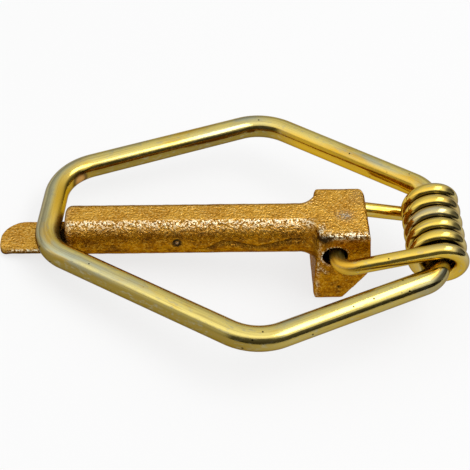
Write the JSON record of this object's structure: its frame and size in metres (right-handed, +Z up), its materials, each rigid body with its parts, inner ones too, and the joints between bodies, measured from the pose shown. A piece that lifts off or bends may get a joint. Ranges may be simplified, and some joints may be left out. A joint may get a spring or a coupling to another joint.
{
  "type": "lynch pin",
  "caption": "Forged locking pin with a flat tongue and a lugged head, held shut by a wire loop that swings on a torsion-spring link.",
  "frame": {"origin": "bottom centre of the bounding box, on the floor that the part lies on", "axes": "+X along the pin, from the tongue to the coil; +Z up from the floor; +Y across the loop"},
  "size_m": [0.0763, 0.0542, 0.0184],
  "materials": {
    "pin": "rough forged skin, yellow zinc passivated, satin",
    "loop": "smooth drawn wire, yellow zinc passivated, glossy",
    "spring": "smooth drawn wire, yellow zinc passivated, glossy"
  },
  "bodies": {
    "pin": {"pin": "pin"},
    "spring": {"spring": "spring"},
    "loop": {"loop": "loop"}
  },
  "joints": [
    {"name": "spring_swing", "type": "hinge", "parent": "pin", "child": "spring", "pos_m": [0.01603, -0.00202, 0.01093], "axis": [0, 1, 0], "range_deg": [0, 150]},
    {"name": "loop_swing", "type": "hinge", "parent": "spring", "child": "loop", "pos_m": [0.03286, -0.00184, 0.01336], "axis": [0.0619, 0.998, 0.0108], "range_deg": [0, 180]}
  ]
}
